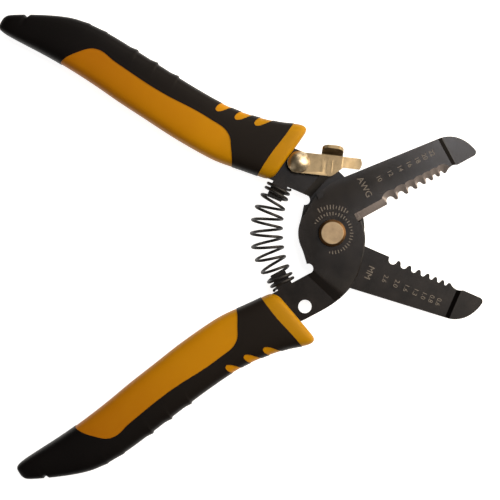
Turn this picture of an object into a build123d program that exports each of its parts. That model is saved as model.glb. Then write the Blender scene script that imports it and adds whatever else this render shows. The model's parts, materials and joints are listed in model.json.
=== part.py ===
from build123d import *
import math
import os

# Hand wire stripper. Two identical steel stampings, turned back to back, cross on one pivot.
# Each half is drawn as it lies with the jaws shut: pivot at the origin, +X towards the nose,
# the cutting line on the X axis, the handle below it. The halves are then opened and the whole
# tool is moved so that it lies on the ground plane. All sizes are in millimetres.

# ---- driving dimensions --------------------------------------------------------------------
opening = 52.0                 # angle between the halves, handles sprung fully apart
half_angle = opening / 2
plate_t = 2.5                  # stamping thickness
plate_gap = 0.03               # each plate stands this far off the shear plane
face_z = plate_gap + plate_t   # outer face of the front plate
blade_lap = 0.4                # how far each cutting edge crosses the centre line

notch_x = (21.4, 25.3, 28.8, 32.0, 34.9, 37.5, 39.9)       # centres of the seven wire notches
wire_d = (2.6, 2.0, 1.6, 1.3, 1.0, 0.8, 0.6)               # bare conductor each one strips
notch_top = (1.5, 1.35, 1.2, 1.1, 1.0, 0.9, 0.85)          # depth above the centre line
tooth_x = (23.4, 27.2, 30.5, 33.6, 36.2, 38.7, 41.0)       # tooth after each notch
tooth_half = 0.32
wire_clear = 0.1               # notch root radius over the conductor radius
bevel_slope = 0.62             # depth of the ground bevels per millimetre across
edge_break = 0.4               # chamfer on the round back of the disc

pivot_r = 2.5
pivot_head_r = 4.3
pivot_flat_r = 3.5
pivot_head_h = 1.6
running_gap = 0.05             # radial clearance of everything that turns
side_gap = 0.03

post_x = -21.4                 # spring posts, on the inner edge of each tang
post_w = 5.0
post_h = 5.3
seat_y = -7.9

hole_at = (-18.8, -16.5)       # latch hole, empty in the lower handle
hole_r = 2.15

grip_half = 6.25               # half of the grip's thickness
grip_round = 4.0
sleeve_width = 12.6            # yellow sleeve round the tang: across, and half its thickness
sleeve_half = 3.4

wire = 0.95                    # spring wire
turns = 11.5
coil_r_end = 3.62
coil_r_mid = 4.9
coil_closed_pitch = 1.5
coil_lead = 6.0                # straight length of the spring at each post
points_per_turn = 8

lever_t = 1.2
lever_z = 3.4                  # underside of the lever's body
lever_tilt = 17.2              # lever direction when swung out of the way; -12 when it locks
arm_drop = 0.65
rivet_r = hole_r - running_gap
dome_r = 3.5
nib = (1.3, 11.6, 3.1, 13.2)   # catch pressed up from the front plate: x0, y0, x1, y1
nib_h = 0.8


# ---- stampings -----------------------------------------------------------------------------
def arc_chain(points, tangent):
    """Arcs through the points, each starting in the direction in which the last one ended."""
    direction, arcs = Vector(*tangent), []
    for start, end in zip(points, points[1:]):
        arcs.append(TangentArc(start, end, tangent=direction))
        direction = arcs[-1] % 1
    return arcs


def blade_edge():
    """Cutting edge from the disc to the nose: shear blade, seven notches, relief, gripping edge."""
    lines = [Line((10.2, -blade_lap), (19.8, -blade_lap))]
    start = (19.8, -blade_lap)
    for x, d, top, tooth in zip(notch_x, wire_d, notch_top, tooth_x):
        root_r = d / 2 + wire_clear
        root_y = top - root_r
        left, right = (x - root_r, root_y), (x + root_r, root_y)
        mouth = (tooth - tooth_half, -blade_lap)
        lines += [Line(start, left), ThreePointArc(left, (x, top), right), Line(right, mouth)]
        start = (tooth + tooth_half, -blade_lap)
        lines.append(Line(mouth, start))
    lines.append(ThreePointArc(start, (43.4, 0.62), (45.8, plate_gap)))
    lines.append(Line((45.8, plate_gap), (51.6, plate_gap)))
    return lines


def plate_outline():
    """One stamping: blade, pivot disc, shoulder with the spring post, and the buried tang."""
    nose = arc_chain([(51.6, plate_gap), (52.9, 1.6), (50.9, 6.4), (45.0, 10.2)], (1, 0))
    spine = list(Polyline((45.0, 10.2), (8.0, 14.3), (2.0, 13.6), (-6.9, 8.3)).edges())
    disc = [
        ThreePointArc((-6.9, 8.3), (-9.7, 4.75), (-10.6, 2.0)),
        Line((-10.6, 2.0), (-11.0, -1.0)),
        Line((-11.0, -1.0), (-11.8, -4.8)),
        ThreePointArc((-11.8, -4.8), (-10.5, -6.2), (-11.6, seat_y)),
    ]
    post_left, post_right = post_x - post_w / 2, post_x + post_w / 2
    shoulder = [
        Line((-11.6, seat_y), (post_right, seat_y)),
        Line((post_right, seat_y), (post_right, seat_y + post_h)),
        Line((post_right, seat_y + post_h), (post_left, seat_y + post_h)),
        Line((post_left, seat_y + post_h), (post_left, seat_y)),
        Line((post_left, seat_y), (-26.0, seat_y)),
    ]
    tang = [
        Line((-26.0, seat_y), (-28.0, -9.6)),
        Spline((-28.0, -9.6), (-45.0, -11.0), (-70.0, -14.5), (-95.0, -20.0)),
        ThreePointArc((-95.0, -20.0), (-97.5, -22.8), (-95.0, -25.0)),
        Spline((-95.0, -25.0), (-70.0, -21.5), (-45.0, -19.3), (-21.0, -20.1)),
        Spline((-21.0, -20.1), (-10.0, -19.9), (0.0, -16.2), (7.2, -8.6), (10.2, -blade_lap),
               tangents=((1, 0), (0.15, 1))),
    ]
    with BuildSketch() as outline:
        with BuildLine():
            for part in [*blade_edge(), *nose, *spine, *disc, *shoulder, *tang]:
                add(part)
        make_face()
    return outline.sketch


def level_band(profile, turn, where):
    """A bent strip: its side profile (along, height) swept across the plate, bend line turned."""
    strip = extrude(Plane.XZ * make_face(Polyline(*profile, close=True)), 60, both=True)
    return Pos(*where) * Rot(0, 0, turn) * strip


def stamping():
    low, high, mid = plate_gap, face_z, plate_t / 2
    blank = extrude(plate_outline(), 10, both=True)
    # the tang steps down half a thickness, so that both handles lie in the middle plane
    tang_band = level_band(
        [(150, low), (0, low), (-2.5, -mid), (-150, -mid), (-150, mid), (-2.5, mid), (0, high), (150, high)],
        18.4, (-10.9, -7.5, 0))
    # the nose steps down the same way, so that the jaw tips meet edge to edge
    nose_band = level_band(
        [(-150, low), (0, low), (1.3, -mid), (20, -mid), (20, mid), (1.3, mid), (0, high), (-150, high)],
        0, (43.9, 0, 0))
    rear, front = Pos(-100, 0, 0) * Box(220, 100, 30), Pos(60, 0, 0) * Box(100, 100, 30)
    plate = (blank & tang_band & rear) + (blank & nose_band & front)
    # ground bevel of the shear edge, then a round countersink beside each notch
    wedge = Polyline((2.0, face_z), (-1.0, face_z), (-1.0, face_z - 3.0 * bevel_slope), close=True)
    plate -= Pos(9.0, 0, 0) * extrude(Plane.YZ * make_face(wedge), 10.9)
    for x, top in zip(notch_x, notch_top):
        outer = top + 1.9
        depth = outer * bevel_slope
        plate -= Pos(x + 0.45, 0, face_z - depth / 2) * Cone(0.01, outer, depth)
    # the round back of the disc has its outer edge broken by a fine chamfer
    round_back = [edge for edge in plate.edges()
                  if abs(edge.center().Z - face_z) < 0.01 and edge.center().Y < -5 and edge.length > 15]
    plate = chamfer(round_back, edge_break)
    plate -= Cylinder(pivot_r + running_gap, 20)
    return plate - Pos(*hole_at, 0) * Cylinder(hole_r, 20)


def turned_over(solid):
    return Rot(180, 0, 0) * solid


def front_half(solid):
    return Rot(0, 0, half_angle) * solid


def back_half(solid):
    return Rot(0, 0, -half_angle) * solid


# ---- pivot ---------------------------------------------------------------------------------
washer_t, nut_t, nut_flats = 0.5, 2.2, 8.0
washer_top = -face_z - side_gap


def pivot_bolt():
    rim = pivot_head_r - pivot_flat_r
    shank_len = face_z - washer_top + washer_t + nut_t
    bolt = Pos(0, 0, face_z - shank_len / 2) * Cylinder(pivot_r, shank_len)
    bolt += Pos(0, 0, face_z + pivot_head_h / 2) * Cylinder(pivot_head_r, pivot_head_h)
    bolt = chamfer(bolt.edges().group_by(Axis.Z)[-1], length=rim * 0.8, length2=rim)
    # shallow ring turned in the flat
    ring = Cylinder(2.45, 0.12) - Cylinder(2.15, 0.12)
    return bolt - Pos(0, 0, face_z + pivot_head_h - 0.06) * ring


def pivot_washer():
    disc = Cylinder(4.6, washer_t) - Cylinder(pivot_r + running_gap, 4)
    return Pos(0, 0, washer_top - washer_t / 2) * disc


def pivot_nut():
    hexagon = RegularPolygon(nut_flats / 2, 6, major_radius=False)
    nut = extrude(hexagon, nut_t) & Cone(4.05, 5.4, nut_t, align=(Align.CENTER, Align.CENTER, Align.MIN))
    return Pos(0, 0, washer_top - washer_t - nut_t) * (nut - Cylinder(pivot_r, 20))


# ---- spring --------------------------------------------------------------------------------
def spring_axis():
    """Half-way line of the spring: out of one post, round a gentle arc, into the other post."""
    seat = Vector(post_x, seat_y, 0).rotate(Axis.Z, half_angle)
    out = Vector(0, 1, 0).rotate(Axis.Z, half_angle)
    bend = seat + out * coil_lead
    radius = -bend.Y / math.sin(math.radians(half_angle))
    return seat, out, bend, radius


def spring_point(s, length, turn):
    """A point of the coil, s along the half-way line and turn revolutions round it."""
    seat, out, bend, radius = spring_axis()
    mirrored = s > length / 2
    s_low = length - s if mirrored else s
    if s_low < coil_lead:
        centre, angle = seat + out * s_low, half_angle
    else:
        angle = half_angle - math.degrees((s_low - coil_lead) / radius)
        arc_x = bend.X + radius * math.cos(math.radians(half_angle))
        out_of_middle = Vector(radius, 0, 0).rotate(Axis.Z, angle)
        centre = Vector(arc_x - out_of_middle.X, -out_of_middle.Y, 0)
    side = Vector(math.cos(math.radians(angle)), math.sin(math.radians(angle)), 0)
    if mirrored:
        centre, side = Vector(centre.X, -centre.Y, 0), Vector(side.X, -side.Y, 0)
    swell = math.sin(math.pi * s / length) ** 1.3
    # the rounded corners of the path pass a little inside its points
    r = (coil_r_end + (coil_r_mid - coil_r_end) * swell) / 0.93
    a = 2 * math.pi * turn
    return centre + side * (r * math.cos(a)) + Vector(0, 0, r * math.sin(a))


def return_spring():
    seat, out, bend, radius = spring_axis()
    length = 2 * coil_lead + 2 * radius * math.radians(half_angle)
    usable = length - wire * 1.2
    end_turns, blend_turns = 1.5, 1.0
    open_turns = turns - 2 * end_turns - 2 * blend_turns
    open_pitch = (usable - (2 * end_turns + blend_turns) * coil_closed_pitch) / (open_turns + blend_turns)
    steps = int(turns * points_per_turn)
    s, points = wire * 0.6, []
    for i in range(steps + 1):
        turn = i / points_per_turn
        points.append(spring_point(s, length, turn))
        near_end = min(turn, turns - turn)
        share = min(max((near_end - end_turns) / blend_turns, 0), 1)
        s += (coil_closed_pitch + (open_pitch - coil_closed_pitch) * share) / points_per_turn
    radii = []
    for before, corner, after in zip(points, points[1:], points[2:]):
        run = min((corner - before).length, (after - corner).length)
        bend_angle = math.radians((corner - before).get_angle(after - corner))
        radii.append(0.45 * run / math.tan(bend_angle / 2))
    path = FilletPolyline(*points, radius=radii)
    start = Plane(origin=path @ 0, z_dir=path % 0)
    coil = sweep(start * Circle(wire / 2), path)
    print("spring wire", round(path.length, 1), "volume ratio",
          round(coil.volume / (math.pi * wire ** 2 / 4 * path.length), 4))
    return coil


# ---- latch ---------------------------------------------------------------------------------
def latch_lever():
    """Pressed lever, eye at the origin, arm along +X; tab bent up for the thumb."""
    low, high = lever_z, lever_z + lever_t
    with BuildSketch() as outline:
        with BuildLine():
            Line((0, 3.15), (19.4, 3.15))
            ThreePointArc((19.4, 3.15), (20.0, 1.4), (19.4, -0.35))
            Line((19.4, -0.35), (14.2, -0.35))
            Line((14.2, -0.35), (11.4, -2.9))
            ThreePointArc((11.4, -2.9), (10.6, -3.4), (9.6, -3.45))
            Line((9.6, -3.45), (0, -3.45))
            ThreePointArc((0, -3.45), (-3.6, 0), (0, 3.15))
        make_face()
    band = level_band(
        [(-10, low), (13.8, low), (14.9, low - arm_drop), (30, low - arm_drop), (30, high - arm_drop),
         (14.9, high - arm_drop), (13.8, high), (-10, high)], 0, (0, 0, 0))
    lever = extrude(outline.sketch, 10) & band
    # thumb tab: curled up from the far edge, then a leaning flat with rounded top corners
    lean, inner, flat = 62.0, 0.5, 3.6
    centre = Vector(3.15, high + inner)
    across, along = Vector(1, 0).rotate(Axis.Z, lean - 90), Vector(1, 0).rotate(Axis.Z, lean)
    half_way = Vector(1, 0).rotate(Axis.Z, lean / 2 - 90)
    outer = inner + lever_t
    with BuildSketch(Plane.YZ) as curl:
        with BuildLine():
            Line((2.6, low), (3.15, low))
            ThreePointArc((3.15, low), centre + half_way * outer, centre + across * outer)
            Line(centre + across * outer, centre + across * outer + along * flat)
            Line(centre + across * outer + along * flat, centre + across * inner + along * flat)
            Line(centre + across * inner + along * flat, centre + across * inner)
            ThreePointArc(centre + across * inner, centre + half_way * inner, (3.15, high))
            Line((3.15, high), (2.6, high))
            Line((2.6, high), (2.6, low))
        make_face()
    tab = Pos(6.9, 0, 0) * extrude(curl.sketch, 6.8)
    tip_corners = [e for e in tab.edges() if e.center().Z > 7.4 and abs((e % 0).X) < 0.1]
    tab = fillet(tip_corners, 2.2)
    lever += tab
    # three raised finger ribs pressed in the body
    for x in (7.6, 9.2, 10.8):
        lever += Pos(x, -0.4, high) * Box(0.55, 4.0, 0.5)
    return lever - Cylinder(hole_r, 40)


def at_rivet(solid, turn=0.0):
    """Place a latch piece on its rivet, in the back half's own frame."""
    return Pos(hole_at[0], -hole_at[1], 0) * Rot(0, 0, turn) * solid


def latch_rivet():
    """Domed head, shank through lever, spacer and tang, and the head formed on the far side."""
    top = lever_z + lever_t + side_gap
    bottom = -plate_t / 2
    dome_h = 1.9
    ball_r = (dome_r ** 2 + dome_h ** 2) / (2 * dome_h)
    dome = Pos(0, 0, top + dome_h - ball_r) * Sphere(ball_r) & Pos(0, 0, top + 5) * Cylinder(dome_r, 10)
    shank = Pos(0, 0, (top + bottom) / 2) * Cylinder(rivet_r, top - bottom)
    tail = Pos(0, 0, bottom - 0.65) * Cone(2.7, 3.4, 1.3)
    return dome + shank + tail


def latch_spacer():
    height = lever_z - side_gap - plate_t / 2
    return Pos(0, 0, plate_t / 2 + height / 2) * (Cylinder(3.4, height) - Cylinder(hole_r, 20))


def catch_nib():
    x0, y0, x1, y1 = nib
    block = Pos((x0 + x1) / 2, (y0 + y1) / 2, face_z + nib_h / 2) * Box(x1 - x0, y1 - y0, nib_h)
    return block + Pos(0, 0, -0.3) * block


# ---- grips ---------------------------------------------------------------------------------
def grip_outline():
    """Inner edge from the collar to the tail, round the tail, and back along the outer edge."""
    inner_edge = [(-28.0, -7.3), (-46.0, -6.3), (-62.0, -8.1), (-97.0, -14.4), (-121.8, -16.7)]
    outer_edge = [(-123.2, -22.0), (-112.0, -27.4), (-103.0, -30.0), (-93.0, -30.2), (-80.0, -28.4),
                  (-60.0, -25.2), (-47.0, -24.1), (-35.0, -25.0), (-23.6, -28.2)]
    collar_front = [(-20.33, -25.6), (-24.3, -10.6), (-28.0, -7.3)]
    with BuildSketch() as outline:
        with BuildLine():
            for arc in arc_chain(inner_edge + outer_edge + collar_front, (-1, 0.12)):
                add(arc)
        make_face()
    return outline.sketch


def yellow_windows():
    """Where the yellow sleeve comes through the black skin: long panel, collar, three drops."""
    with BuildSketch() as panel:
        with BuildLine():
            Polyline((-38.2, -6.0), (-38.2, 0), (-104.0, 0), (-101.5, -15.0))
            Spline((-101.5, -15.0), (-97.2, -20.6), (-92.5, -23.6), (-85.0, -22.2), (-70.0, -19.5),
                   (-50.0, -17.6), (-43.6, -15.9), (-40.6, -11.6), (-38.2, -6.0))
        make_face()
    with BuildSketch() as collar:
        with BuildLine():
            Spline((-29.9, -6.0), (-28.6, -14.5), (-26.3, -24.0), (-25.0, -30.0))
            Polyline((-25.0, -30.0), (0, -30.0), (0, -6.0), (-29.9, -6.0))
        make_face()
    shapes = panel.sketch + collar.sketch
    for tip, left, right in (((-50.3, -20.9), -48.8, -46.3), ((-43.8, -21.0), -42.5, -40.0),
                             ((-36.8, -21.6), -35.6, -33.3)):
        with BuildSketch() as drop:
            with BuildLine():
                Line(tip, (left, -27.0))
                Line((left, -27.0), (right, -27.0))
                Line((right, -27.0), (tip[0] + 1.6, tip[1] - 0.2))
                ThreePointArc((tip[0] + 1.6, tip[1] - 0.2), (tip[0] + 0.7, tip[1] + 0.6), tip)
            make_face()
        shapes += drop.sketch
    return shapes


def grip(tang):
    """Both shots of one grip: the yellow sleeve round the tang, and the black skin round that."""
    body = Pos(0, 0, -grip_half) * extrude(grip_outline(), 2 * grip_half)
    body = fillet(body.edges().filter_by(Plane.XY), grip_round)
    windows = extrude(yellow_windows(), 20, both=True)
    spine = Spline((-24.0, -14.6), (-45.0, -15.2), (-70.0, -18.0), (-95.0, -22.5))
    sleeve = extrude(trace(spine, line_width=sleeve_width), sleeve_half, both=True)
    core = (body & windows) + (sleeve & body)
    cover = body - core
    return core - tang, cover - tang


# ---- assembly ------------------------------------------------------------------------------
plate = stamping()
core, cover = grip(plate)
front_plate = plate + catch_nib()

nodes = {
    "awg_blade": front_half(front_plate),
    "mm_blade": back_half(turned_over(plate)),
    "pivot_bolt": pivot_bolt(),
    "pivot_washer": pivot_washer(),
    "pivot_nut": pivot_nut(),
    "return_spring": return_spring(),
    "latch_lever": back_half(at_rivet(latch_lever(), lever_tilt)),
    "latch_rivet": back_half(at_rivet(latch_rivet())),
    "latch_spacer": back_half(at_rivet(latch_spacer())),
    "lower_grip_core": front_half(core),
    "lower_grip_cover": front_half(cover),
    "upper_grip_core": back_half(turned_over(core)),
    "upper_grip_cover": back_half(turned_over(cover)),
}

# the origin is under the middle of the tool's box, on the surface that the grips lie on
boxes = [shape.bounding_box() for shape in nodes.values()]
low = Vector(*(min(getattr(box.min, side) for box in boxes) for side in "XYZ"))
high = Vector(*(max(getattr(box.max, side) for box in boxes) for side in "XYZ"))
middle = (low + high) / 2
to_ground = Pos(-middle.X, -middle.Y, -low.Z)
print("pivot at", to_ground.position, "box", high - low)

os.makedirs("parts", exist_ok=True)
for name, shape in nodes.items():
    export_step(to_ground * shape, f"parts/{name}.step")
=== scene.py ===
# Hand wire stripper, lying open on its back: two blackened steel stampings on one pivot, two-shot
# moulded grips, a barrel spring between the tangs and a plated thumb latch. Lengths are in metres;
# each half's shapes are drawn as it lies with the jaws shut, in millimetres, then turned open.
import bpy
import bmesh
import json
import math
from mathutils import Matrix, Vector


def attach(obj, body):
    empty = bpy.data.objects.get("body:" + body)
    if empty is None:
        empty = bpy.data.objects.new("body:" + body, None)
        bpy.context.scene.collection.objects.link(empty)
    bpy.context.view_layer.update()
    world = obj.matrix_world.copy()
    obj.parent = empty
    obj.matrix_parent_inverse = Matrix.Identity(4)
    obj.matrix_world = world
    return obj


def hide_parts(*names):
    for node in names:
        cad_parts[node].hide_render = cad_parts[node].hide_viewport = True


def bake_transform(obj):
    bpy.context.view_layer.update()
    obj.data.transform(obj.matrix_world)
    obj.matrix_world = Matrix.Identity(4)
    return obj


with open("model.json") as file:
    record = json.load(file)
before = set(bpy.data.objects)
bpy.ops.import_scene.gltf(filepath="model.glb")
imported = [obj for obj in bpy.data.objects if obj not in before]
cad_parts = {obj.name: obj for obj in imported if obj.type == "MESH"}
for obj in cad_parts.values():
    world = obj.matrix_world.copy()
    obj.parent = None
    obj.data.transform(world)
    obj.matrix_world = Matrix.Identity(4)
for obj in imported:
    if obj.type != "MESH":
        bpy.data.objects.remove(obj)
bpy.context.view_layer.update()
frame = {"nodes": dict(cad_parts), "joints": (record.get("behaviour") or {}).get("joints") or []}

# --- Camera, light and floor -----------------------------------------------------------------
# The tool is seen from straight above, its line turned a little up to the right, on pale paper that
# is lit a little from below. Two soft warm lights stand to the right and one behind, with a weak fill
# from the left, and a small cool light over the jaws puts a sheen on the upper nose.
joint = next(j for j in frame["joints"] if j["name"] == "jaw_pivot")
pivot = Vector(joint["pos_m"])
open_angle = math.radians(joint["range_deg"][1])
half_angle = open_angle / 2
roll = math.radians(2.5)
view_width = 0.160
camera_height = 0.62
to_middle = Vector((-0.0262, -0.0054, 0))        # from the pivot to the middle of the open tool
view_centre = pivot + Matrix.Rotation(-roll, 3, "Z") @ to_middle

camera_data = bpy.data.cameras.new("camera")
camera_data.sensor_width = 36
camera_data.lens = camera_data.sensor_width * camera_height / view_width
camera = bpy.data.objects.new("camera", camera_data)
camera.matrix_world = Matrix.Translation(view_centre + Vector((0, 0, camera_height))) @ Matrix.Rotation(
    -roll, 4, "Z")
bpy.context.scene.collection.objects.link(camera)
bpy.context.scene.camera = camera


def linear(colour):
    """An sRGB hex colour as the linear colour that the shader takes."""
    parts = [int(colour[i:i + 2], 16) / 255 for i in (1, 3, 5)]
    return [c / 12.92 if c < 0.04045 else ((c + 0.055) / 1.055) ** 2.4 for c in parts] + [1.0]


def add_node(material, kind, settings=(), **inputs):
    """A shader node with its settings; an input is a value, or another node's output socket."""
    node = material.node_tree.nodes.new("ShaderNode" + kind)
    for name, value in dict(settings).items():
        setattr(node, name, value)
    for name, value in inputs.items():
        socket = node.inputs[int(name[1:])] if name[0] == "_" else node.inputs[name.replace("_", " ")]
        if isinstance(value, bpy.types.NodeSocket):
            material.node_tree.links.new(value, socket)
        else:
            socket.default_value = value
    return node


def add_light(name, place, size, power, colour):
    """A soft square light, aimed at the middle of the tool."""
    data = bpy.data.lights.new(name, "AREA")
    data.size, data.energy, data.color = size, power, linear(colour)[:3]
    light = bpy.data.objects.new(name, data)
    light.location = place
    light.rotation_euler = (Vector((0, 0, 0)) - Vector(place)).to_track_quat("-Z", "Y").to_euler()
    bpy.context.scene.collection.objects.link(light)


add_light("window_right", (0.30, 0.08, 0.20), 0.38, 2.6, "#FFF1DC")
add_light("overhead_right", (0.42, 0.06, 0.70), 0.60, 2.0, "#FFF4E6")
add_light("window_behind", (0.10, 0.45, 0.30), 0.30, 0.75, "#FFF8EE")
add_light("fill_left", (-0.40, -0.30, 0.30), 0.35, 0.15, "#FFF8F0")
add_light("sky_over_tip", (0.14, 0.10, 0.62), 0.10, 0.52, "#F2F1F6")

world = bpy.data.worlds.new("studio")
world.use_nodes = True
world.node_tree.nodes["Background"].inputs["Color"].default_value = linear("#F4F1EC")
world.node_tree.nodes["Background"].inputs["Strength"].default_value = 0.13
bpy.context.scene.world = world
bpy.context.scene.view_settings.view_transform = "Standard"     # colours show as they are given here

floor_mesh = bmesh.new()
bmesh.ops.create_grid(floor_mesh, x_segments=1, y_segments=1, size=1.5)
floor_data = bpy.data.meshes.new("paper_floor")
floor_mesh.to_mesh(floor_data)
floor = bpy.data.objects.new("paper_floor", floor_data)
floor.location.z = -0.0002                       # just under the grips
bpy.context.scene.collection.objects.link(floor)
paper = bpy.data.materials.new("matt_paper")
paper.use_nodes = True
paper_shader = paper.node_tree.nodes["Principled BSDF"]
paper_shader.inputs["Base Color"].default_value = linear("#C4C3C1")
paper_shader.inputs["Roughness"].default_value = 0.95
paper_shader.inputs["Emission Color"].default_value = linear("#FFFFFF")
paper_shader.inputs["Emission Strength"].default_value = 0.90
floor.data.materials.append(paper)

# --- Stampings -------------------------------------------------------------------------------
# Two identical plates, blanked and joggled from 2.5 mm carbon steel, hardened and blackened in hot
# oxide. The cutting edges are ground afterwards, so their bevels are bare grey steel.
front_turn = Matrix.Translation(pivot) @ Matrix.Rotation(half_angle, 4, "Z")
upright_back = Matrix.Translation(pivot) @ Matrix.Rotation(-half_angle, 4, "Z")
back_turn = upright_back @ Matrix.Rotation(math.pi, 4, "X")              # turned over, then opened
edge_radius, edge_least_angle = 0.24, 42         # roll-over of the blanked edges
flat_limit = 12                                  # faces that meet at less than this shade as one


def new_material(name):
    """An empty material with its Principled shader."""
    material = bpy.data.materials.new(name)
    material.use_nodes = True
    return material, material.node_tree.nodes["Principled BSDF"]


def half_coordinates(material, turn):
    """Object coordinates in millimetres, turned back to where the half lies with its jaws shut."""
    place = add_node(material, "TexCoord").outputs["Object"]
    back = turn.inverted()
    scaled = add_node(material, "Mapping", {"vector_type": "POINT"}, Vector=place,
                      Location=back.translation * 1000, Rotation=back.to_euler(), Scale=(1000, 1000, 1000))
    return scaled.outputs["Vector"]


def black_oxide_steel(name, turn):
    """Hot-oxide finish: near-black brown with a satin sheen, a little mottled. A face near the cutting edge
    that leans towards the front is a ground bevel: bare grey steel with grinding lines across it. The
    pressed bends are painted near-black as painted shade and made more matt, most of all at the nose, where
    they are also made more metallic to darken them further."""
    material, shader = new_material(name)
    links = material.node_tree.links

    def within(value, middle, reach):
        """1 where a value is no further than reach from a middle, else 0."""
        return add_node(material, "Math", {"operation": "COMPARE"}, _0=value, _1=middle,
                        _2=reach).outputs["Value"]

    def both(one, other, operation="MULTIPLY"):
        """Two masks in one."""
        return add_node(material, "Math", {"operation": operation}, _0=one, _1=other).outputs["Value"]

    where = half_coordinates(material, turn)
    mottle = add_node(material, "TexNoise", Vector=where, Scale=0.16, Detail=4.0, Roughness=0.6)
    dark = add_node(material, "ValToRGB", Fac=mottle.outputs["Fac"])
    dark.color_ramp.elements[0].position, dark.color_ramp.elements[1].position = 0.35, 0.75
    dark.color_ramp.elements[0].color = linear("#0F0C0A")
    dark.color_ramp.elements[1].color = linear("#1B1613")

    # where a face lies, and which way it looks, with the jaws shut
    facing = add_node(material, "SeparateXYZ", Vector=add_node(
        material, "Mapping", {"vector_type": "VECTOR"}, Rotation=turn.inverted().to_euler(),
        Vector=add_node(material, "TexCoord").outputs["Normal"]).outputs["Vector"])
    spot = add_node(material, "SeparateXYZ", Vector=where)
    near_edge = both(within(spot.outputs["X"], 26.1, 17.1), within(spot.outputs["Y"], 2.2, 2.8))
    ground = both(within(facing.outputs["Z"], 0.385, 0.585), near_edge)
    nose = both(within(spot.outputs["X"], 44.85, 1.3), within(spot.outputs["Y"], 0.0, 30.0))
    tang = both(within(spot.outputs["X"], -9.5, 5.5), within(spot.outputs["Y"], -15.0, 9.0))
    tilt = add_node(material, "Math", {"operation": "ABSOLUTE"}, _0=facing.outputs["X"]).outputs["Value"]
    tilted = add_node(material, "MapRange", Value=tilt, _1=0.08, _2=0.3).outputs["Result"]
    # the tilted faces of the nose bend, and at 0.6 strength those of the tang bend, get painted shade
    shaded_bend = both(tilted, both(nose, both(tang, 0.6), "MAXIMUM"))

    # grinding lines 0.05 mm apart are too fine to show, so they are drawn about 0.15 mm apart
    lines = add_node(material, "Mapping", Vector=where, Scale=(7.0, 0.5, 0.5))
    scratches = add_node(material, "TexNoise", Vector=lines.outputs["Vector"], Scale=1.0, Detail=3.0)
    bare = add_node(material, "ValToRGB", Fac=scratches.outputs["Fac"])
    bare.color_ramp.elements[0].color = linear("#5E5755")
    bare.color_ramp.elements[1].color = linear("#8B8380")
    # painted shade: the bends' colour is mixed towards near-black
    painted_bend_shade = add_node(material, "Mix", {"data_type": "RGBA"}, _0=shaded_bend, _6=dark.outputs["Color"],
                     _7=linear("#0B0807"))
    colour = add_node(material, "Mix", {"data_type": "RGBA"}, _0=ground, _6=painted_bend_shade.outputs[2],
                      _7=bare.outputs["Color"])
    links.new(colour.outputs[2], shader.inputs["Base Color"])
    rough = add_node(material, "MapRange", Value=mottle.outputs["Fac"], _3=0.20, _4=0.31)
    matt = add_node(material, "Math", {"operation": "MULTIPLY_ADD"}, _0=shaded_bend, _1=0.45,
                    _2=rough.outputs["Result"])
    links.new(matt.outputs["Value"], shader.inputs["Roughness"])
    metal = add_node(material, "MapRange", Value=ground, _3=0.06, _4=0.4).outputs["Result"]
    # the nose bend is also made metallic, which darkens it further as painted shade
    nose_bend = both(both(nose, tilted), 0.8)
    links.new(both(metal, nose_bend, "MAXIMUM"), shader.inputs["Metallic"])
    shader.inputs["Specular IOR Level"].default_value = 0.28
    # the oxide's grain is drawn at 0.2 mm, some ten times its real size, so that it shows
    grain = add_node(material, "TexNoise", Vector=where, Scale=4.5, Detail=2.0)
    bump = add_node(material, "Bump", Height=grain.outputs["Fac"], Strength=0.12, Distance=0.00005)
    links.new(bump.outputs["Normal"], shader.inputs["Normal"])
    return material


def finish(piece, material):
    """Gives a piece its one material."""
    piece.data.materials.clear()
    piece.data.materials.append(material)


def baked(maker):
    """The finished mesh of a curve, text or mesh with modifiers, whose object is then removed."""
    bpy.context.scene.collection.objects.link(maker)
    graph = bpy.context.evaluated_depsgraph_get()
    mesh = bpy.data.meshes.new_from_object(maker.evaluated_get(graph))
    bpy.data.objects.remove(maker)
    return mesh


def edges_eased(node, place, radius_mm, least_angle):
    """A node's shape in millimetres in its own frame, with every edge sharper than an angle rounded."""
    shape = bmesh.new()
    shape.from_mesh(frame["nodes"][node].data)
    bmesh.ops.transform(shape, matrix=Matrix.Scale(1000, 4) @ place.inverted(), verts=shape.verts)
    # the loose triangles are merged, and those that lie flat together become one face
    bmesh.ops.remove_doubles(shape, verts=shape.verts, dist=0.001)
    bmesh.ops.dissolve_limit(shape, angle_limit=math.radians(0.8), verts=shape.verts, edges=shape.edges)
    mesh = bpy.data.meshes.new(node + "_eased")
    shape.to_mesh(mesh)
    mesh.polygons.foreach_set("use_smooth", [True] * len(mesh.polygons))
    maker = bpy.data.objects.new(node + "_eased", mesh)
    rounding = maker.modifiers.new("rounding", "BEVEL")
    rounding.affect, rounding.profile, rounding.material = "EDGES", 0.5, -1
    rounding.width, rounding.segments = radius_mm, 2
    rounding.limit_method, rounding.angle_limit = "ANGLE", math.radians(least_angle)
    return baked(maker)


def add_piece(name, mesh, turn, material, body, sharp_angle=180):
    """A finished mesh in millimetres, put in its place in the frame and fixed to a body."""
    mesh.transform(turn @ Matrix.Scale(0.001, 4))
    mesh.materials.clear()
    mesh.materials.append(material)
    mesh.polygons.foreach_set("use_smooth", [True] * len(mesh.polygons))
    mesh.set_sharp_from_angle(angle=math.radians(sharp_angle))
    piece = bpy.data.objects.new(name, mesh)
    bpy.context.scene.collection.objects.link(piece)
    if body:
        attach(piece, body)
    return piece


front_steel = black_oxide_steel("black_oxide_steel_front", front_turn)
back_steel = black_oxide_steel("black_oxide_steel_back", back_turn)
for node, turn, steel, body in (("awg_blade", front_turn, front_steel, "awg_half"),
                                ("mm_blade", back_turn, back_steel, "mm_half")):
    eased = edges_eased(node, turn, edge_radius, edge_least_angle)
    blade = add_piece(node + "_ground", eased, turn, steel, body, flat_limit)
    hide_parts(node)

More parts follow.
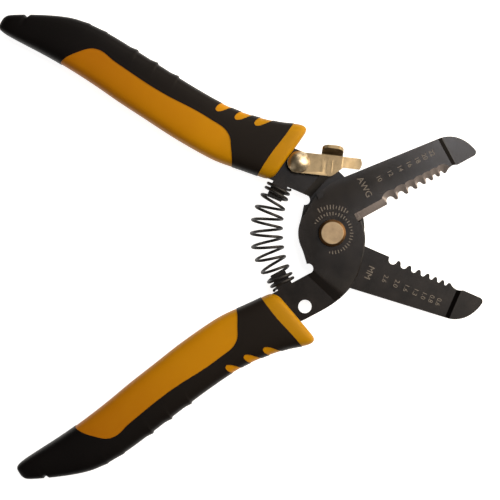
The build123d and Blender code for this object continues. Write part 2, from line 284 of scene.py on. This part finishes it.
# --- Markings --------------------------------------------------------------------------------
# Gauge numbers beside the notches, and a ring of plain ticks round the pivot, etched pale into the
# oxide. On the model they are paper-thin flats lying on the plates.
mark_thickness = 0.012
face_height, back_face_height = 2.53, -0.03      # of the plates, over the plane where they meet
notch_x = (21.4, 25.3, 28.8, 32.0, 34.9, 37.5, 40.0)
number_size, unit_size = 2.1, 2.9
unit_x = 16.0
reading_down = -math.pi / 2                      # numbers are read from the nose
tick_gap, tick_width, short_tick = 0.95, 0.3, 0.55
flats_limit = 30


def etched_mark():
    """Etching through black oxide: pale warm grey, matt, and uneven over 0.4 mm or so."""
    material, shader = new_material("etched_steel_marks")
    where = add_node(material, "TexCoord").outputs["Object"]
    uneven = add_node(material, "TexNoise", Vector=where, Scale=2500.0, Detail=2.0)
    tone = add_node(material, "ValToRGB", Fac=uneven.outputs["Fac"])
    tone.color_ramp.elements[0].color = linear("#3E3934")
    tone.color_ramp.elements[1].color = linear("#6E665D")
    material.node_tree.links.new(tone.outputs["Color"], shader.inputs["Base Color"])
    shader.inputs["Roughness"].default_value = 0.7
    return material


def text_mesh(words, height, place, turned):
    """Words as a thin flat mesh, centred on a place on the plate."""
    curve = bpy.data.curves.new("words", "FONT")
    curve.body, curve.size = words, height
    curve.align_x, curve.align_y = "CENTER", "CENTER"
    curve.extrude = mark_thickness / 2
    mesh = baked(bpy.data.objects.new("words", curve))
    mesh.transform(Matrix.Translation(place) @ Matrix.Rotation(turned, 4, "Z"))
    return mesh


def joined(meshes):
    """Several meshes as one."""
    whole = bmesh.new()
    for mesh in meshes:
        whole.from_mesh(mesh)
    result = bpy.data.meshes.new("joined")
    whole.to_mesh(result)
    return result


marks = etched_mark()
# the front row of numbers falls a little towards the nose, as the blade narrows
gauge_numbers = [text_mesh(number, number_size, (x, 8.2 - 0.05 * (x - 21), face_height), reading_down)
                 for number, x in zip(("10", "12", "14", "16", "18", "20", "22"), notch_x)]
gauge_numbers.append(text_mesh("AWG", unit_size, (unit_x, 7.9, face_height), reading_down))
add_piece("awg_numbers", joined(gauge_numbers), front_turn, marks, "awg_half", flats_limit)

# the lower blade shows its inner face, so its marks lie in the back half's own upright frame
millimetre_numbers = [text_mesh(number, number_size, (x, -6.6, back_face_height), reading_down)
                      for number, x in zip(("2.6", "2.0", "1.6", "1.3", "1.0", "0.8", "0.6"), notch_x)]
millimetre_numbers.append(text_mesh("MM", unit_size, (unit_x, -6.8, back_face_height), reading_down))
add_piece("mm_numbers", joined(millimetre_numbers), upright_back, marks, "mm_half",
          flats_limit)

ticks = bmesh.new()
# each arc's radius, its first and last angle in degrees, and how long its ticks are
for radius, first, last, long_tick in ((8.3, 52, 118, 1.5), (6.2, -100, 147, 1.1)):
    count = int(math.radians(last - first) * radius / tick_gap)
    for i in range(count + 1):
        angle = math.radians(first + (last - first) * i / count) - half_angle
        tick = bmesh.ops.create_cube(ticks, size=1)["verts"]
        long_now = long_tick * (1 if i % 4 else short_tick)
        bmesh.ops.scale(ticks, vec=(long_now, tick_width, mark_thickness), verts=tick)
        place = Matrix.Rotation(angle, 4, "Z") @ Matrix.Translation((radius, 0, face_height))
        bmesh.ops.transform(ticks, matrix=place, verts=tick)
tick_mesh = bpy.data.meshes.new("ticks")
ticks.to_mesh(tick_mesh)
add_piece("pivot_ticks", tick_mesh, front_turn, marks, "awg_half", flats_limit)

# --- Pivot -----------------------------------------------------------------------------------
# A flat-headed pivot bolt, turned and plated with warm nickel, with a thin washer and a thin nut in
# dark plating on the far side. The lathe leaves rings in the flat of the head, and round the flat the
# chamfer is painted dark brown as painted shade, which dims the reflection it catches.


def plated_steel(name, low, high, centre, ring_pitch_mm, roughness, relief_strength=0.10, rim=None):
    """Nickel plate over turned or pressed steel: bright, warm, with fine tool rings or rub marks. A
    rim, given as a radius in millimetres and a colour, is painted that colour outside the radius, as
    painted shade."""
    material, shader = new_material(name)
    links = material.node_tree.links
    place = add_node(material, "TexCoord").outputs["Object"]
    local = add_node(material, "Mapping", {"vector_type": "POINT"}, Vector=place,
                     Location=tuple(-c * 1000 for c in centre), Scale=(1000, 1000, 1000)).outputs["Vector"]
    blotch = add_node(material, "TexNoise", Vector=local, Scale=0.45, Detail=3.0)
    tone = add_node(material, "ValToRGB", Fac=blotch.outputs["Fac"])
    tone.color_ramp.elements[0].position, tone.color_ramp.elements[1].position = 0.3, 0.7
    tone.color_ramp.elements[0].color, tone.color_ramp.elements[1].color = linear(low), linear(high)
    plate = tone.outputs["Color"]
    # painted shade: outside the rim's radius the plate's colour is mixed to the rim's colour
    if rim:
        across = add_node(material, "Mapping", Vector=local, Scale=(1, 1, 0)).outputs["Vector"]
        radius = add_node(material, "VectorMath", {"operation": "LENGTH"}, _0=across).outputs["Value"]
        outside = add_node(material, "MapRange", Value=radius, _1=rim[0] - 0.15, _2=rim[0] + 0.1)
        plate = add_node(material, "Mix", {"data_type": "RGBA"}, _0=outside.outputs["Result"], _6=plate,
                         _7=linear(rim[1])).outputs[2]
    links.new(plate, shader.inputs["Base Color"])
    shader.inputs["Metallic"].default_value = 1.0
    rough = add_node(material, "MapRange", Value=blotch.outputs["Fac"], _3=roughness * 0.8,
                     _4=roughness * 1.3)
    links.new(rough.outputs["Result"], shader.inputs["Roughness"])
    if ring_pitch_mm:           # a lathe's own rings, some 0.1 mm apart, are drawn wider so that they show
        relief = add_node(material, "TexWave", {"wave_type": "RINGS", "rings_direction": "Z"}, Vector=local,
                          Scale=0.314 / ring_pitch_mm, Distortion=0.4).outputs["Fac"]
    else:
        relief = add_node(material, "TexNoise", Vector=local, Scale=6.0, Detail=2.0).outputs["Fac"]
    bump = add_node(material, "Bump", Height=relief, Strength=relief_strength, Distance=0.00005)
    links.new(bump.outputs["Normal"], shader.inputs["Normal"])
    return material


# the chamfer round the bolt's flat head is painted dark brown as painted shade
finish(frame["nodes"]["pivot_bolt"],
       plated_steel("turned_nickel_plate", "#85725A", "#A08C6F", pivot, 0.35, 0.40, rim=(3.6, "#5A4128")))
dark_plate = plated_steel("dark_zinc_plate", "#3A342E", "#5E564D", pivot, 0, 0.45)
finish(frame["nodes"]["pivot_washer"], dark_plate)
finish(frame["nodes"]["pivot_nut"], dark_plate)

# --- Latch -----------------------------------------------------------------------------------
# A lever pressed from 1.2 mm steel strip and nickel plated, with a thumb tab and a thin arm. It turns
# on a dome-headed rivet in the upper tang, over a spacer that lifts it clear of the front plate.
latch_centre = Vector(next(j for j in frame["joints"] if j["name"] == "latch_pivot")["pos_m"])
lever_slope = math.radians(17.2)                             # from the back half's own line
lever_turn = (Matrix.Translation((latch_centre.x, latch_centre.y, pivot.z))
              @ Matrix.Rotation(lever_slope - half_angle, 4, "Z"))
crank_start, crank_end, crank_drop = 13.8, 14.9, 0.65        # the sharp step in the plain shape
sweep_start, sweep_end = 13.2, 19.0                          # the long sweep that the pressing has
sweep_cuts, first_cut, cut_gap = 12, 13.3, 0.5
lever_radius, lever_least_angle, lever_flat_limit = 0.22, 36, 22


def eased_step(x, start, end):
    """0 before start, 1 after end, and a soft rise between."""
    share = min(max((x - start) / (end - start), 0), 1)
    return share * share * (3 - 2 * share)


lever_shape = bmesh.new()
lever_shape.from_mesh(edges_eased("latch_lever", lever_turn, lever_radius, lever_least_angle))
for cut in range(sweep_cuts):
    everything = lever_shape.verts[:] + lever_shape.edges[:] + lever_shape.faces[:]
    bmesh.ops.bisect_plane(lever_shape, geom=everything, plane_co=(first_cut + cut_gap * cut, 0, 0),
                           plane_no=(1, 0, 0))
for vertex in lever_shape.verts:
    plain = min(max((vertex.co.x - crank_start) / (crank_end - crank_start), 0), 1)
    vertex.co.z += crank_drop * (plain - eased_step(vertex.co.x, sweep_start, sweep_end))
lever_mesh = bpy.data.meshes.new("latch_lever")
lever_shape.to_mesh(lever_mesh)
lever_plate = plated_steel("pressed_nickel_plate", "#7A6A50", "#978567", latch_centre, 0, 0.40)
lever = add_piece("thumb_lever", lever_mesh, lever_turn, lever_plate, "latch",
                  lever_flat_limit)
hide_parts("latch_lever")
bright_nickel = plated_steel("bright_nickel_plate", "#A39174", "#C9BA9E", latch_centre, 0, 0.34,
                             relief_strength=0.02)
finish(frame["nodes"]["latch_rivet"], bright_nickel)
finish(frame["nodes"]["latch_spacer"], bright_nickel)

# --- Return spring ---------------------------------------------------------------------------
# Barrel compression spring, wound from 0.95 mm wire with closed ends and blackened. It is pushed on
# the two stamped posts and bows outwards while the handles are apart.
wire_radius = 0.475
spring_turns = 11.5
end_radius, middle_radius = 3.62, 4.9
barrel_power = 1.3              # how soon the coils swell towards the middle
closed_pitch = 1.5
blend_turns, end_turns = 1.0, 1.5
start_turn = 0.5                # where round the post the wire begins, in turns
end_room = 1.2 * wire_radius    # between the plate's edge and the first ring of wire
post = Vector((-21.4, -7.9, 0))
straight = 6.0                  # length of the spring's axis that runs straight off each post
turn_steps = 28

seat = Matrix.Rotation(half_angle, 3, "Z") @ post
outward = Vector((-math.sin(half_angle), math.cos(half_angle), 0))
bend_start = seat + outward * straight
bow_radius = -bend_start.y / math.sin(half_angle)
bow_centre = Vector((bend_start.x + bow_radius * math.cos(half_angle), 0, 0))
spring_length = 2 * straight + 2 * bow_radius * half_angle


def along_spring(s):
    """Place on the spring's axis, and the direction across it in the plane of the tool."""
    low = min(s, spring_length - s)
    angle = half_angle - max(low - straight, 0) / bow_radius
    across = Vector((math.cos(angle), math.sin(angle), 0))
    centre = seat + outward * low if low < straight else bow_centre - across * bow_radius
    if s > spring_length / 2:
        centre, across = Vector((centre.x, -centre.y, 0)), Vector((across.x, -across.y, 0))
    return centre, across


open_turns = spring_turns - 2 * end_turns - 2 * blend_turns
usable = spring_length - 2 * end_room
open_pitch = (usable - (2 * end_turns + blend_turns) * closed_pitch) / (open_turns + blend_turns)
spring_curve = bpy.data.curves.new("spring_wire", "CURVE")
spring_curve.dimensions = "3D"
spring_curve.bevel_depth, spring_curve.bevel_resolution, spring_curve.use_fill_caps = wire_radius, 3, True
strand = spring_curve.splines.new("POLY")
steps = int(spring_turns * turn_steps)
strand.points.add(steps)
s = end_room
shares = []                     # how far along the spring each ring of the wire lies, from 0 to 1
for i in range(steps + 1):
    shares.append(s / spring_length)
    turn = i / turn_steps
    centre, across = along_spring(s)
    swelling = max(math.sin(math.pi * s / spring_length), 0) ** barrel_power
    coil = end_radius + (middle_radius - end_radius) * swelling
    angle = math.tau * (turn + start_turn)
    place = centre + across * coil * math.cos(angle) + Vector((0, 0, coil * math.sin(angle)))
    strand.points[i].co = (*place, 1)
    opened = min(max((min(turn, spring_turns - turn) - end_turns) / blend_turns, 0), 1)
    s += (closed_pitch + (open_pitch - closed_pitch) * opened) / turn_steps
spring_mesh = baked(bpy.data.objects.new("spring_wire", spring_curve))
shares += [shares[0], shares[-1]]                            # the rims of the two end caps come last


def blackened_wire():
    """Oil-blackened spring steel: black with a soft brown sheen that varies over a millimetre or so."""
    material, shader = new_material("blackened_spring_wire")
    where = add_node(material, "TexCoord").outputs["Object"]
    mottle = add_node(material, "TexNoise", Vector=where, Scale=900.0, Detail=3.0)
    tone = add_node(material, "ValToRGB", Fac=mottle.outputs["Fac"])
    tone.color_ramp.elements[0].color = linear("#070504")
    tone.color_ramp.elements[1].color = linear("#14100E")
    material.node_tree.links.new(tone.outputs["Color"], shader.inputs["Base Color"])
    rough = add_node(material, "MapRange", Value=mottle.outputs["Fac"], _3=0.36, _4=0.56)
    material.node_tree.links.new(rough.outputs["Result"], shader.inputs["Roughness"])
    shader.inputs["Metallic"].default_value = 0.1
    shader.inputs["Specular IOR Level"].default_value = 0.35
    return material


spring = add_piece("barrel_spring", spring_mesh, Matrix.Translation(pivot), blackened_wire(), None)
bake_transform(spring)
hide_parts("return_spring")

# --- Grips -----------------------------------------------------------------------------------
# Two-shot mouldings pushed over the tangs: a firm yellow core, and a soft black cover moulded over
# it that leaves the core bare in a long panel, a collar and three drops. Low ribs and a notch stop
# the hand slipping. Both grips are one shape, the upper one turned over with its stamping.
cover_stands_proud = 0.15
corner_power = 4.0              # how square the section is: 2 is an ellipse
section_points = 16
smoothing_take_back = 1.018     # a subdivided ring comes out this much smaller than its control ring
station_gap = 3.4
# Stations along the grip: the inner edge (x, y), the outer edge (x, y) and half the thickness.
stations = (
    (-124.3, -18.4, -124.3, -20.4, 2.6), (-123.9, -17.4, -123.4, -22.2, 4.2),
    (-121.5, -16.7, -120.5, -23.8, 5.2), (-116.0, -16.2, -115.0, -26.2, 5.7),
    (-109.0, -15.7, -108.0, -28.8, 6.0), (-102.0, -15.0, -102.0, -30.2, 6.2),
    (-95.0, -14.0, -95.0, -30.3, 6.25), (-88.0, -12.8, -88.0, -29.6, 6.25),
    (-80.0, -11.2, -80.0, -28.4, 6.25), (-70.0, -9.5, -70.0, -26.8, 6.25),
    (-60.0, -7.8, -60.0, -25.3, 6.25), (-50.0, -6.6, -50.0, -24.2, 6.25),
    (-43.0, -6.2, -43.0, -24.1, 6.25), (-36.0, -6.8, -36.0, -24.8, 6.25),
    (-30.0, -7.2, -29.0, -26.2, 6.25), (-26.5, -7.5, -24.5, -27.8, 6.2),
    (-24.9, -8.6, -21.9, -28.2, 6.0), (-24.2, -10.0, -20.7, -26.9, 5.0),
    (-23.9, -11.5, -21.0, -25.0, 3.2))
ribs = ((-80.7, 0.50), (-73.3, 0.50), (-65.5, 0.45), (-92.0, 0.20), (-98.0, 0.20))    # crest x, height
rib_ramp, rib_step = 2.6, 0.55          # each rib's slow rise and its short fall
tail_notch = (-117.3, 0.75, 0.9)        # x, depth, half width
smoothing_levels = 3
prism_reach = 10                        # half the height of what cuts a window, more than any grip's
cover_flat_limit = 38


def smooth_stations():
    """The stations with more set between them on a smooth line, so that none is far from the next."""
    rows = []
    last = len(stations) - 1
    for i in range(last):
        before, here, there, after = (Vector(stations[min(max(i + k, 0), last)]) for k in (-1, 0, 1, 2))
        count = math.ceil((there - here).length / station_gap)
        for t in (k / count for k in range(count)):
            rows.append(0.5 * (2 * here + (there - before) * t
                               + (2 * before - 5 * here + 4 * there - after) * t * t
                               + (3 * here - before - 3 * there + after) * t ** 3))
    return rows + [Vector(stations[last])]


def grip_body():
    """The whole grip's smooth outside: a bar extruded ring by ring, laid along the stations."""
    rows = smooth_stations()
    bar = bmesh.new()
    bmesh.ops.create_circle(bar, cap_ends=True, segments=section_points, radius=1)
    for _ in rows[1:]:
        rim = [edge for edge in bar.edges if edge.is_boundary]
        moved = bmesh.ops.extrude_edge_only(bar, edges=rim)["geom"]
        next_ring = [part for part in moved if isinstance(part, bmesh.types.BMVert)]
        bmesh.ops.translate(bar, vec=(0, 0, 1), verts=next_ring)
    bmesh.ops.holes_fill(bar, edges=[edge for edge in bar.edges if edge.is_boundary], sides=0)
    for vertex in bar.verts:
        inner_x, inner_y, outer_x, outer_y, half_thickness = rows[round(vertex.co.z)]
        wide, high = (math.copysign(abs(c) ** (2 / corner_power), c) * smoothing_take_back
                      for c in vertex.co.xy)
        inner, outer = Vector((inner_x, inner_y, 0)), Vector((outer_x, outer_y, 0))
        vertex.co = (inner + outer) / 2 + (inner - outer) / 2 * wide + Vector((0, 0, half_thickness * high))
    bmesh.ops.recalc_face_normals(bar, faces=bar.faces)
    mesh = bpy.data.meshes.new("grip_body")
    bar.to_mesh(mesh)
    mesh.polygons.foreach_set("use_smooth", [True] * len(mesh.polygons))
    maker = bpy.data.objects.new("grip_body", mesh)
    smoother = maker.modifiers.new("smooth", "SUBSURF")
    smoother.levels = smoother.render_levels = smoothing_levels
    return baked(maker)


def swell(mesh, height):
    """Moves each point of a mesh along its normal by what height says for that point."""
    shape = bmesh.new()
    shape.from_mesh(mesh)
    shape.normal_update()
    moves = [vertex.normal * height(vertex.co, vertex.normal) for vertex in shape.verts]
    for vertex, move in zip(shape.verts, moves):
        vertex.co += move
    shape.to_mesh(mesh)


def notch_height(place, facing):
    """The small notch across the outer edge near the tail."""
    at, deep, half_width = tail_notch
    near = abs(place.x - at) < half_width and place.y < -19
    return -deep * math.cos((place.x - at) / half_width * math.pi / 2) * max(-facing.y, 0) if near else 0


def rib_height(place, facing):
    """Shark-fin ribs along the outer edge, each rising towards the collar, and the notch."""
    outer = max(-facing.y, 0) ** 1.5
    height = 0
    for crest, tall in ribs:
        run = place.x - crest
        if -rib_ramp < run <= 0:
            height += tall * (1 + run / rib_ramp) ** 1.3
        elif 0 < run < rib_step:
            height += tall * (1 - run / rib_step)
    return height * outer + notch_height(place, facing)


def window_prism(points, rounded):
    """A prism that cuts one window in the cover, right through the grip. Its outline is a closed curve,
    straight to each point but those whose numbers are in rounded."""
    curve = bpy.data.curves.new("window", "CURVE")
    curve.dimensions, curve.fill_mode, curve.resolution_u = "2D", "NONE", 8
    outline = curve.splines.new("BEZIER")
    outline.bezier_points.add(len(points) - 1)
    outline.use_cyclic_u = True
    for i, (point, (x, y)) in enumerate(zip(outline.bezier_points, points)):
        point.co = (x, y, 0)
        point.handle_left_type = point.handle_right_type = "AUTO" if i in rounded else "VECTOR"
    edge_loop = baked(bpy.data.objects.new("window", curve))
    prism = bmesh.new()
    prism.from_mesh(edge_loop)
    bmesh.ops.translate(prism, vec=(0, 0, -prism_reach), verts=prism.verts)
    bmesh.ops.contextual_create(prism, geom=prism.edges[:])
    raised = bmesh.ops.extrude_face_region(prism, geom=prism.faces[:])["geom"]
    top = [part for part in raised if isinstance(part, bmesh.types.BMVert)]
    bmesh.ops.translate(prism, vec=(0, 0, 2 * prism_reach), verts=top)
    bmesh.ops.recalc_face_normals(prism, faces=prism.faces)
    mesh = bpy.data.meshes.new("window")
    prism.to_mesh(mesh)
    return mesh


# the windows' outlines, in the stations' own millimetres: each runs out past the grip's side
panel = [(-104, 0), (-101.5, -15), (-97.2, -20.6), (-92.5, -23.6), (-85, -22.2), (-70, -19.5), (-50, -17.6),
         (-43.6, -15.9), (-40.6, -11.6), (-38.2, -6.0), (-38.2, 0)]
collar = [(-29.9, -6), (-28.6, -14.5), (-26.3, -24), (-25, -32), (-10, -32), (-10, 0), (-29.9, 0)]
windows = [window_prism(panel, range(1, 10)), window_prism(collar, (1, 2))]
for x, y in ((-50.3, -20.9), (-43.7, -20.8), (-37.2, -21.6)):
    drop = [(x + 3.1, y - 6.1), (x, y - 0.9), (x + 0.3, y - 0.15), (x + 1.15, y), (x + 7.1, y - 6.1)]
    windows.append(window_prism(drop, (1, 2, 3)))
window_maker = bpy.data.objects.new("windows", joined(windows))
bpy.context.scene.collection.objects.link(window_maker)

core_mesh = grip_body()
swell(core_mesh, lambda place, facing: notch_height(place, facing) - cover_stands_proud)
whole_mesh = grip_body()
swell(whole_mesh, rib_height)
cover_maker = bpy.data.objects.new("cover", whole_mesh)
cut = cover_maker.modifiers.new("windows", "BOOLEAN")
cut.operation, cut.solver, cut.object = "DIFFERENCE", "EXACT", window_maker
cover_mesh = baked(cover_maker)
bpy.data.objects.remove(window_maker)


def moulded_rubber(name, turn, tail, middle, collar_end, roughness, shine):
    """Satin thermoplastic from a spark-eroded mould: an even fine grain, a tone that drifts slowly at
    random, painted darker at the tail as painted shade and lighter towards the collar as painted light, and
    a little more shine where a hand has rubbed it."""
    material, shader = new_material(name)
    links = material.node_tree.links
    where = half_coordinates(material, turn)
    drift = add_node(material, "TexNoise", Vector=where, Scale=0.07, Detail=3.0)
    along = add_node(material, "SeparateXYZ", Vector=where).outputs["X"]
    # painted light and shade: the tone is pushed darker at the tail and lighter towards the collar
    painted_light_to_collar = add_node(material, "MapRange", Value=along, _1=-100.0, _2=-25.0, _3=-0.25, _4=0.85)
    drift_and_painted_light = add_node(material, "Math", {"operation": "MULTIPLY_ADD"}, _0=drift.outputs["Fac"], _1=0.5,
                        _2=painted_light_to_collar.outputs["Result"])
    tone = add_node(material, "ValToRGB", Fac=drift_and_painted_light.outputs["Value"])
    tone.color_ramp.elements[0].color = linear(tail)
    tone.color_ramp.elements[1].color = linear(collar_end)
    tone.color_ramp.elements.new(0.8).color = linear(middle)
    links.new(tone.outputs["Color"], shader.inputs["Base Color"])
    rough = add_node(material, "MapRange", Value=drift.outputs["Fac"], _3=roughness - 0.06,
                     _4=roughness + 0.06)
    links.new(rough.outputs["Result"], shader.inputs["Roughness"])
    shader.inputs["Specular IOR Level"].default_value = shine
    # the mould's grain, some 0.1 mm, is drawn at 0.3 mm so that it shows
    grain = add_node(material, "TexNoise", Vector=where, Scale=3.2, Detail=2.0)
    bump = add_node(material, "Bump", Height=grain.outputs["Fac"], Strength=0.25, Distance=0.00006)
    links.new(bump.outputs["Normal"], shader.inputs["Normal"])
    return material


# the upper grip is pushed on a little further, as far as the latch lever leaves room
for side, turn, body, pushed_on in (("lower", front_turn, "awg_half", 0.0),
                                    ("upper", back_turn, "mm_half", 0.5)):
    place = turn @ Matrix.Translation((pushed_on / 1000, 0, 0))
    # each tail colour is darker than the middle one: painted shade at the tail, painted light towards the
    # collar
    core_rubber = moulded_rubber("moulded_yellow_pp_" + side, turn,
                                 "#985C00", "#A97200", "#986B00", 0.50, 0.09)
    cover_rubber = moulded_rubber("moulded_black_tpe_" + side, turn,
                                  "#050303", "#130E0A", "#130E0A", 0.52, 0.10)
    core = add_piece(side + "_grip_yellow", core_mesh.copy(), place, core_rubber, body)
    cover = add_piece(side + "_grip_black", cover_mesh.copy(), place, cover_rubber, body,
                      cover_flat_limit)
    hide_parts(side + "_grip_core")
    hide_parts(side + "_grip_cover")
